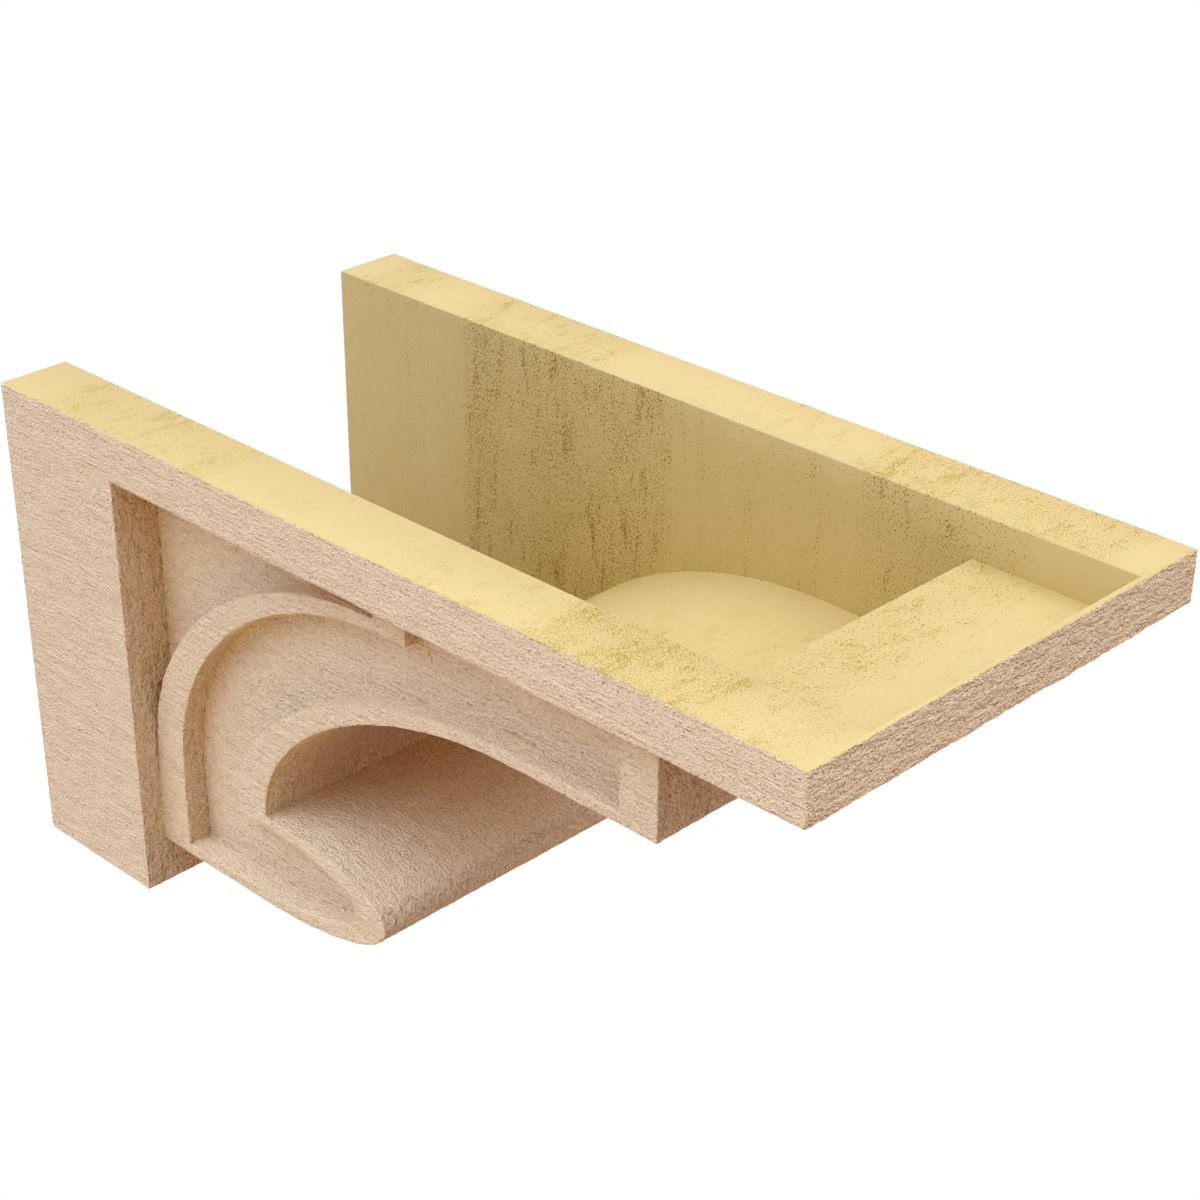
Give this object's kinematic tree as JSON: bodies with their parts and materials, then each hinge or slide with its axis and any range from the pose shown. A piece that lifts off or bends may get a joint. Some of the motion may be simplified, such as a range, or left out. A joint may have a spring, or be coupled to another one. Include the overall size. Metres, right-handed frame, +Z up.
{
  "type": "polyurethane corbel",
  "caption": "Hollow moulded foam corbel with a timber-grain finish, a flat top slab, carved arches on its sides and a round-nosed lip, fixed to a wall to look like a beam support.",
  "frame": {"origin": "on the wall plane and the plane of symmetry, at the middle of the bar that closes the back rim at its foot", "axes": "+X projects from the wall, +Y is across the corbel, +Z is up"},
  "size_m": [0.508, 0.254, 0.2539],
  "materials": {
    "primed_foam": "matte tan primer over a sand-blasted timber grain outside, bare pale yellow foam with small pores inside and on the rims"
  },
  "bodies": {
    "root": {"corbel": "primed_foam"}
  },
  "joints": []
}
